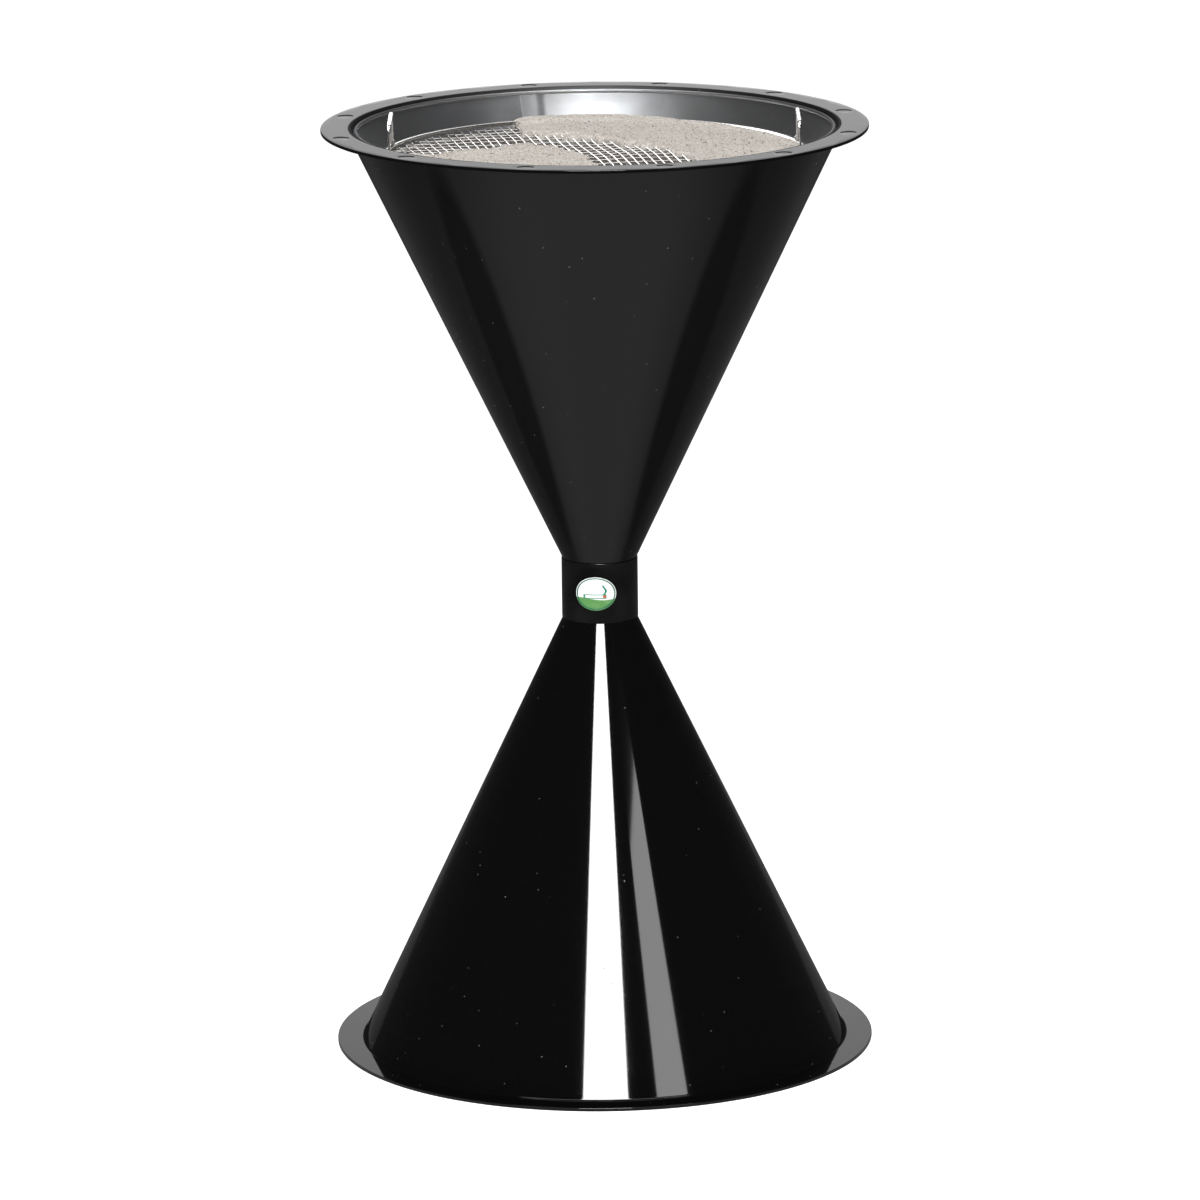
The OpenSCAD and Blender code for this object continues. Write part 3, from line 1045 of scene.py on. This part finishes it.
@dataclass
class Tray(Assembly):
    """The sheet-metal tray and its sand. Sizes in millimetres."""

    stand: Stand
    gap: float = 0.6
    sheet_t: float = 0.8
    lap_turn_deg: float = 105.2
    lap_w: float = 9.0
    wire_d: float = 3.0

    def __post_init__(self) -> None:
        """Takes the tray's heights from the frame."""
        self.rim_h = self.stand.rim_h
        self.floor_z = NodeBox("tray_floor").bottom
        self.wire = NodeBox("tray_rim_wire")
        self.mesh_top = NodeBox("mesh_warp").top

    def inner_r(self, z: Array | float) -> Array | float:
        """Inside radius of the tray's wall at a height."""
        s = self.stand
        return s.mouth_r - s.taper * (self.rim_h - z) - (self.gap + self.sheet_t) * s.slant

    def _wall(self) -> bpy.types.Object:
        """The rolled wall: a sheet wound a little past one turn, with shallow dents.

        Angle a runs from the lap's start to past one full turn. Along the lap the inner end of the sheet
        steps in by one thickness. A dent moves the sheet inwards by a smooth random height.
        """
        lap = self.lap_w / float(self.inner_r(self.floor_z))
        start = math.radians(self.lap_turn_deg)
        cols = 900
        a = np.linspace(start, start + TAU + lap, cols)
        top, low = self.wire.middle[2], self.floor_z
        z = np.linspace(top, low, 34)
        step = smooth_step(TAU - lap * 0.8, TAU - lap * 0.1, a - start)
        wave = Waves(7, 60)
        ripple = Waves(8, 24)
        arc_len = (a % TAU) * 170
        fade = np.clip((top - z) / 8, 0, 1)[:, None] * np.clip((z - low) / 6, 0, 1)[:, None]
        place = (arc_len[None, :], z[:, None])
        dent = (wave(*place) * 0.20 + ripple(*place) * 0.035 + 0.42) * fade
        closing = smooth_step(0, 0.15, a - start) * (1 - smooth_step(TAU + lap - 0.15, TAU + lap, a - start))
        inner = self.inner_r(z)[:, None] - np.maximum(dent, 0) * closing[None, :]
        inner = inner - step[None, :] * self.sheet_t * 1.06
        outer = inner + self.sheet_t * self.stand.slant * 0.98
        loop_r = np.concatenate([inner, outer[::-1]])
        loop_z = np.concatenate([z, z[::-1]])[:, None]
        points = polar(loop_r, a, loop_z)
        parts = MeshParts()
        number = parts.grid(points, wrap_rows=True)
        parts.fan(number[:, 0], points[:, 0].mean(0))
        parts.fan(number[:, -1], points[:, -1].mean(0))
        return parts.build("tray_wall_sheet", 50)

    def _bead(self) -> bpy.types.Object:
        """The rim bead: a ring of wire that wanders a few tenths."""
        low, high = self.wire.corners()
        a = full_turn(360)
        radius = float(high[1] - low[1]) / 2 - self.wire_d / 2
        wander = Waves(11, 90)(a * radius, 0 * a) * 0.08
        path = polar(radius - 0.15 + wander, a, self.wire.middle[2])
        return wire_loop("tray_rim_bead", path, self.wire_d / 2 - 0.05)

    def build(self) -> None:
        """Builds and dresses the tray's pieces."""
        self.install(self._wall(), "tray", "tray_sheet", Finish.TRAY, "tray_wall")
        self.install(self._bead(), "tray", "tray_sheet", Finish.TRAY, "tray_rim_wire")
        self.keep("tray_floor", Finish.TRAY)


@dataclass
class SandBed(Assembly):
    """The loose sand, which lies over parts of the sieve's mesh and leaves a band of it bare."""

    tray: Tray
    rows: int = 150
    cols: int = 420
    cover: float = 1.5
    bare_depth: float = 6.5
    ring_cover: float = 3.6
    gutter: float = 5.0
    grip_x: float = 126.0
    grip_half: tuple[float, float] = (7.0, 38.0)
    grip_shift: float = 0.86
    loose_grains: int = 5200
    near_edge: Curve = ((-165, 12), (-120, 14), (-95, 20), (-75, 44), (-55, 48), (-25, 32), (-10, 4),
                        (2, -34), (12, -170))
    far_edge: Curve = ((-62, 170), (-54, 104), (-40, 90), (-10, 84), (8, 76), (20, 60), (36, 42), (54, 22),
                       (72, -20), (84, -170))
    heaps: Curve = ((0, 0), (40, 0), (84, 1), (108, 1), (120, 0), (215, 0), (240, 1), (300, 1), (330, 0),
                    (360, 0))

    def bare(self, x: Array, y: Array) -> Array:
        """1 where the mesh lies bare, 0 where sand covers it.

        The bare band lies between two curves given by a few places across the tray, and its edges are
        broken up by smooth random fields.
        """
        ragged = Waves(21, 46)(x, y) * 4.5 + Waves(22, 15)(x, y) * 3.0 + Waves(23, 5)(x, y) * 1.2
        near, far = read_curve(self.near_edge, x), read_curve(self.far_edge, x)
        return smooth_step(-5, 5, y - near + ragged) * smooth_step(-5, 5, far - y + ragged)

    def height(self, x: Array, y: Array) -> Array:
        """Height of the sand's surface at each place.

        The sand is level over the mesh. At the ring it is heaped up to the wall in front and behind, and
        elsewhere stops just under the ring's top and drops into a gutter beyond it.
        """
        ring_r = NodeBox("sieve_ring").radius
        r, turn = np.hypot(x, y), np.degrees(np.arctan2(y, x)) % 360
        heap = read_curve(self.heaps, turn)
        bare = self.bare(x, y)
        at_ring = smooth_step(ring_r - 16, ring_r - 2, r)
        swell = Waves(31, 80)(x, y) * 0.35 + Waves(32, 26)(x, y) * 0.16 + Waves(33, 8)(x, y) * 0.07
        covered = self.tray.mesh_top + self.cover + swell * (1 - at_ring * 0.8)
        covered = covered + at_ring * (self.ring_cover - self.cover) * (0.35 + 0.65 * heap)
        covered = covered - smooth_step(ring_r - 3, ring_r, r) * (1 - heap) * self.gutter
        open_ground = self.tray.mesh_top - self.bare_depth + swell * 1.3
        return covered + (open_ground - covered) * bare

    def _bed(self) -> bpy.types.Object:
        """The sand's closed surface: a round height field, the wall's cone below it and a flat floor."""
        t = self.tray
        edge_z = t.mesh_top
        rim_r = float(t.inner_r(edge_z)) - 0.15
        r = np.linspace(0.4, rim_r, self.rows)
        a = full_turn(self.cols)
        x, y = r[:, None] * np.cos(a), r[:, None] * np.sin(a)
        z = self.height(x, y)
        z = z + np.random.default_rng(41).normal(0, 0.07, z.shape)
        wall_r = t.inner_r(z[-1]) - 0.9
        x[-1], y[-1] = wall_r * np.cos(a), wall_r * np.sin(a)
        floor_z = t.floor_z + t.sheet_t + 0.05
        foot_r = float(t.inner_r(floor_z)) - 0.9
        foot = polar(foot_r, a, floor_z)
        parts = MeshParts()
        number = parts.grid(np.concatenate([np.stack([x, y, z], -1), foot[None]]), wrap_cols=True)
        parts.fan(number[0], np.array([0, 0, float(z[0].mean())]))
        parts.fan(number[-1], np.array([0, 0, floor_z]))
        piece = parts.build("sand_bed", 75)
        x, y, _ = vertices_of(piece).T
        # Inside the ring, the bare mesh marks sand to be darkened: painted shade of the deep sand under the
        # wires, mixed with ash.
        inside = 1 - smooth_step(-6, 0, np.hypot(x, y) - NodeBox("sieve_ring").radius - 5)
        set_ash_and_shade(piece, self.bare(x, y) * inside)
        return piece

    def _grains(self) -> bpy.types.Object:
        """Loose grains on the surface: small eight-sided stones, each turned and sized at random."""
        draw = np.random.default_rng(42)
        reach = float(self.tray.inner_r(self.tray.mesh_top)) - 2
        r = np.sqrt(draw.uniform(0, 1, self.loose_grains)) * reach
        a = draw.uniform(0, TAU, self.loose_grains)
        x, y = r * np.cos(a), r * np.sin(a)
        # No grain lies where a folded bail's grip comes down.
        half_x, half_y = self.grip_half
        under_grip = (np.abs(np.abs(x) - self.grip_x) < half_x) & (np.abs(y) < half_y)
        x = np.where(under_grip, x * self.grip_shift, x)
        size = draw.lognormal(math.log(0.42), 0.28, self.loose_grains)
        z = self.height(x, y) + size * 0.35
        turn, _ = np.linalg.qr(draw.normal(size=(self.loose_grains, 3, 3)))
        squash = np.stack([size * draw.uniform(0.7, 1.3, self.loose_grains), size,
                           size * draw.uniform(0.6, 1.0, self.loose_grains)], -1)
        shape = np.array([[1, 0, 0], [-1, 0, 0], [0, 1, 0], [0, -1, 0], [0, 0, 1], [0, 0, -1]], float)
        faces = [[0, 2, 4], [2, 1, 4], [1, 3, 4], [3, 0, 4], [2, 0, 5], [1, 2, 5], [3, 1, 5], [0, 3, 5]]
        parts = MeshParts()
        parts.copies(shape, faces, np.stack([x, y, z], -1), turn * squash[:, None, :])
        piece = parts.build("loose_grains", 20)
        dark = np.repeat((draw.uniform(size=self.loose_grains) < 0.3) * 0.8, len(shape))
        set_ash_and_shade(piece, dark)
        return piece

    def build(self) -> None:
        """Builds and dresses the sand."""
        self.install(self._bed(), "tray", "sand", Finish.SAND, "sand_fill")
        self.install(self._grains(), "tray", "sand", Finish.SAND)


@dataclass
class Sieve(Assembly):
    """The round wire sieve that lies in the sand. Sizes in millimetres."""

    mesh_wire_d: float = 1.0
    ring_wire_d: float = 3.0
    warp_pitch: float = 6.3
    weft_pitch: float = 12.6
    turn_deg: float = 11.0
    sag: float = 0.45

    def __post_init__(self) -> None:
        """Takes the ring's size and height from the frame."""
        self.ring = NodeBox("sieve_ring")
        self.ring_r = self.ring.radius - self.ring_wire_d / 2

    def _ring(self) -> bpy.types.Object:
        """The ring: wire bent to a circle."""
        a = full_turn(300)
        return wire_loop("sieve_ring_wire", polar(self.ring_r, a, self.ring.middle[2]), self.ring_wire_d / 2)

    def _wires(self, name: str, pitch: float, level: float, heading: float, seed: int) -> bpy.types.Object:
        """One layer of the welded mesh: parallel wires that follow the mesh's slight waviness.

        A wire at offset u from the centre has the half length of the ring's chord there. Both layers take
        their height from the same smooth field, so that they stay in touch.
        """
        parts = MeshParts()
        draw = np.random.default_rng(seed)
        last = int((self.ring_r - self.ring_wire_d) // pitch)
        c, s = math.cos(heading), math.sin(heading)
        wave = Waves(51, 85, 12)
        for i in range(-last, last + 1):
            u = i * pitch + draw.normal(0, 0.12)
            half = math.sqrt(self.ring_r ** 2 - u ** 2)
            t = np.linspace(-half, half, 40)
            drift = draw.normal(0, 0.10) * np.sin(t / half * 2.2 + draw.uniform(0, TAU))
            x = -s * t + c * (u + drift)
            y = c * t + s * (u + drift)
            pinned = 1 - np.abs(t / half) ** 4
            rim_fade = 1 - smooth_step(self.ring_r - 14, self.ring_r, np.hypot(x, y))
            z = level + (wave(x, y) - 1.0) * self.sag * rim_fade * pinned
            parts.capped_tube(tube(np.stack([x, y, z], -1), self.mesh_wire_d / 2, 8, (0, 0, 1)))
        return parts.build(name, 60)

    def build(self) -> None:
        """Builds and dresses the sieve."""
        turn = math.radians(self.turn_deg)
        self.install(self._ring(), "sieve", "sieve_wire", Finish.SIEVE, "sieve_ring")
        warp, weft = NodeBox("mesh_warp").middle[2], NodeBox("mesh_weft").middle[2]
        long_wires = self._wires("mesh_long_wires", self.warp_pitch, warp, turn, 61)
        self.install(long_wires, "sieve", "sieve_wire", Finish.SIEVE, "mesh_warp")
        cross_wires = self._wires("mesh_cross_wires", self.weft_pitch, weft, turn + math.pi / 2, 62)
        self.install(cross_wires, "sieve", "sieve_wire", Finish.SIEVE, "mesh_weft")
        self.keep("bail_eyelets", Finish.SIEVE)


class Side(Enum):
    """The two bails' sides, seen from the front."""

    LEFT = "left"
    RIGHT = "right"


@dataclass
class Bail(Assembly):
    """A wire bail handle with its grip tube. Sizes in millimetres."""

    side: Side
    wire_d: float = 2.0
    corner_bend: float = 4.0
    foot_bend: float = 2.5
    leg_y: float = 35.0
    grip_wall: float = 0.6

    def _path(self) -> Array:
        """The wire's centre line in its own plane: foot, leg, bar, leg and foot, with round bends."""
        low, high = NodeBox(f"bail_{self.side.value}").corners()
        x = float(low[0] + high[0]) / 2
        hinge_z, bar_z = float(low[2]) + self.wire_d / 2, float(high[2]) - self.wire_d / 2
        foot_y = float(high[1])
        bend, turn = self.foot_bend, self.corner_bend
        foot = arc((self.leg_y + bend, hinge_z + bend), bend, 1.5 * math.pi, math.pi, 8)
        corner = arc((self.leg_y - turn, bar_z - turn), turn, 0, math.pi / 2, 10)
        half = np.vstack([[[foot_y, hinge_z]], foot, corner])
        other = half[::-1] * np.array([-1, 1])
        flat = Stand._refined(np.vstack([half, other]), 4.0)
        return np.column_stack([np.full(len(flat), x), flat])

    def _grip(self) -> bpy.types.Object:
        """The grip: a thin tube with rolled ends round the bar."""
        low, high = NodeBox(f"grip_{self.side.value}").corners()
        half, outer = float(high[1] - low[1]) / 2, float(high[2] - low[2]) / 2
        centre = (low + high) / 2
        bore = outer - self.grip_wall
        corners = [(bore, -half), (outer, -half), (outer, half), (bore, half)]
        outline = rounded(corners, [0.2, 0.28, 0.28, 0.2], 4)
        ring = revolve(Stand._refined(np.vstack([outline, outline[:1]]), 6.0)[:-1], full_turn(32))
        placed = np.stack([ring[..., 0] + centre[0], ring[..., 2] + centre[1], ring[..., 1] + centre[2]], -1)
        parts = MeshParts()
        parts.grid(placed, wrap_rows=True, wrap_cols=True)
        return parts.build(f"grip_tube_{self.side.value}", 60)

    def build(self) -> None:
        """Builds and dresses one bail."""
        parts = MeshParts()
        parts.capped_tube(tube(self._path(), self.wire_d / 2, 16, (1, 0, 0)))
        wire = parts.build(f"bail_wire_{self.side.value}", 60)
        name = self.side.value
        self.install(wire, f"{name}_bail", "bail_wire", Finish.BAIL, f"bail_{name}")
        self.install(self._grip(), f"{name}_grip", "grip_tube", Finish.GRIP, f"grip_{name}")


# ---------------------------------------------------------------- stage


@dataclass(frozen=True)
class Softbox:
    """A rectangular studio light that faces the object.

    Args:
        name: The light's name.
        azimuth_deg: Direction round the object, 0 at the front and positive to the right.
        elevation_deg: Height above the level.
        distance: Distance from the object's middle in metres.
        size: Width and height in metres.
        radiance: Brightness of its face.
        gloss: Whether it shows in gloss alone, or else in everything but gloss.
        lit: Finishes that it lights, or none for everything.
    """

    name: str
    azimuth_deg: float
    elevation_deg: float
    distance: float
    size: tuple[float, float]
    radiance: float
    gloss: bool = True
    lit: tuple[Finish, ...] = ()

    def place(self, target: Vector, wardrobe: Wardrobe) -> None:
        """Hangs the light, turns it to the target and limits it to the pieces that it is for."""
        azimuth, elevation = math.radians(self.azimuth_deg), math.radians(self.elevation_deg)
        away = Vector((math.sin(azimuth) * math.cos(elevation), -math.cos(azimuth) * math.cos(elevation),
                       math.sin(elevation)))
        lamp = bpy.data.lights.new(self.name, "AREA")
        lamp.shape = "RECTANGLE"
        lamp.size, lamp.size_y = self.size
        lamp.energy = self.radiance * math.pi * self.size[0] * self.size[1]
        thing = bpy.data.objects.new(self.name, lamp)
        thing.location = target + away * self.distance
        thing.rotation_euler = away.to_track_quat("Z", "Y").to_euler()
        thing.visible_glossy = self.gloss
        thing.visible_diffuse = not self.gloss
        bpy.context.scene.collection.objects.link(thing)
        if self.lit:
            group = bpy.data.collections.new(f"lit_by_{self.name}")
            for finish in self.lit:
                for piece in wardrobe.worn.get(finish, []):
                    group.objects.link(piece)
            thing.light_linking.receiver_collection = group


@dataclass(frozen=True)
class Studio:
    """The pale floor, the lights and the camera. Sizes in metres."""

    camera_back: float = 5.37
    camera_up: float = 1.573
    aim_z: float = 0.334
    lens: float = 223.4
    roll_deg: float = 0.65
    floor_half: float = 30.0
    backdrop_back: float = 6.0
    backdrop_half: float = 0.85
    reflected_depth: float = 0.001
    backdrop_top: float = 2.6
    room: float = 0.035
    sun: float = 1.5
    lit_z: float = 0.345

    def _sheet(self, name: str, points: Array, finish: Any, reflected: bool) -> None:
        """One flat stage piece, seen either by the camera and by soft light or only by gloss.

        Args:
            name: The piece's name.
            points: A grid of points in metres.
            finish: Its finish.
            reflected: Whether only gloss sees it.
        """
        parts = MeshParts()
        parts.grid(points / MM)
        piece = parts.build(name)
        piece.data.materials.append(finish.material())
        piece.visible_camera = piece.visible_diffuse = piece.visible_shadow = not reflected
        piece.visible_glossy = reflected

    def _floor(self) -> None:
        """A large pale floor, and what gloss sees in its place."""
        side = np.linspace(-self.floor_half, self.floor_half, 3)
        x, y = np.meshgrid(side, side)
        flat = np.stack([x, y, np.full(x.shape, -0.00005)], -1)
        self._sheet("studio_floor", flat, StageFloor(), False)
        self._sheet("reflected_floor", flat - np.array([0, 0, self.reflected_depth]), ReflectedFloor(), True)

    def _backdrop(self) -> None:
        """The upright paper behind the object."""
        across = np.linspace(-self.backdrop_half, self.backdrop_half, 3)
        x, z = np.meshgrid(across, np.linspace(0, self.backdrop_top, 3))
        upright = np.stack([x, np.full(x.shape, self.backdrop_back), z], -1)
        self._sheet("reflected_backdrop", upright, Backdrop(top=self.backdrop_top / MM), True)

    def _camera(self) -> None:
        """The camera, at the height of a standing eye and rolled by under a degree."""
        data = bpy.data.cameras.new("camera")
        data.lens = self.lens
        data.sensor_width = 36.0
        data.clip_end = 100.0
        thing = bpy.data.objects.new("camera", data)
        spot = Vector((0, -self.camera_back, self.camera_up))
        turn = (spot - Vector((0, 0, self.aim_z))).to_track_quat("Z", "Y").to_matrix().to_4x4()
        roll = Matrix.Rotation(math.radians(-self.roll_deg), 4, "Z")
        thing.matrix_world = Matrix.Translation(spot) @ turn @ roll
        bpy.context.scene.collection.objects.link(thing)
        bpy.context.scene.camera = thing

    def _room(self) -> None:
        """The room: pale where it is looked at, and dim in what it lights."""
        world = bpy.data.worlds.new("room")
        world.use_nodes = True
        tree = world.node_tree
        path = tree.nodes.new("ShaderNodeLightPath")
        mix = tree.nodes.new("ShaderNodeMix")
        mix.data_type = "RGBA"
        mix.inputs[6].default_value = (self.room, self.room, self.room, 1)
        mix.inputs[7].default_value = (0.92, 0.92, 0.92, 1)
        tree.links.new(path.outputs["Is Camera Ray"], mix.inputs["Factor"])
        tree.links.new(mix.outputs[2], tree.nodes["Background"].inputs["Color"])
        bpy.context.scene.world = world
        bpy.context.scene.view_settings.view_transform = "Standard"

    def _overhead(self) -> None:
        """A wide light from above."""
        lamp = bpy.data.lights.new("overhead", "SUN")
        lamp.energy = self.sun
        lamp.angle = math.radians(40)
        thing = bpy.data.objects.new("overhead", lamp)
        bpy.context.scene.collection.objects.link(thing)

    def build(self, wardrobe: Wardrobe) -> None:
        """Sets up the whole stage.

        Args:
            wardrobe: Says which pieces wear which finish, for the lights that are flagged off from others.
        """
        middle = Vector((0, 0, self.lit_z))
        plastic = (Finish.CONE, Finish.SLEEVE, Finish.LABEL)
        wire = (Finish.SIEVE, Finish.BAIL, Finish.GRIP, Finish.ZINC)
        self._floor()
        self._backdrop()
        self._room()
        self._overhead()
        for light in (
            Softbox("front_strip", 0.0, 38.0, 3.0, (1.06, 1.3), 42.0, lit=plastic),
            Softbox("right_strip", 33.0, 26.6, 3.0, (0.72, 0.52), 8.0, lit=plastic),
            Softbox("tray_card", 0.0, 38.0, 3.0, (1.1, 1.3), 10.5, lit=(Finish.TRAY,)),
            Softbox("wire_card", -12.0, 38.0, 3.0, (1.2, 1.3), 4.5, lit=wire),
            Softbox("wire_back", 188.0, 38.0, 3.0, (3.4, 2.2), 2.6, lit=wire),
            Softbox("wire_side", -130.0, 38.0, 0.9, (0.45, 0.45), 22.0, lit=wire),
            Softbox("front_fill", -8.0, 42.0, 3.0, (1.3, 1.3), 18.0, gloss=False),
        ):
            light.place(middle, wardrobe)
        self._camera()
        log.info("stage is set")


def main() -> None:
    """Builds every sub-assembly in order."""
    logging.basicConfig(level=logging.INFO, format="%(name)s: %(message)s")
    wardrobe = Wardrobe()
    stand = Stand(wardrobe)
    stand.build()
    tray = Tray(wardrobe, stand)
    tray.build()
    SandBed(wardrobe, tray).build()
    Sieve(wardrobe).build()
    for side in Side:
        Bail(wardrobe, side).build()
    Studio().build(wardrobe)


if __name__ == "__main__":
    main()
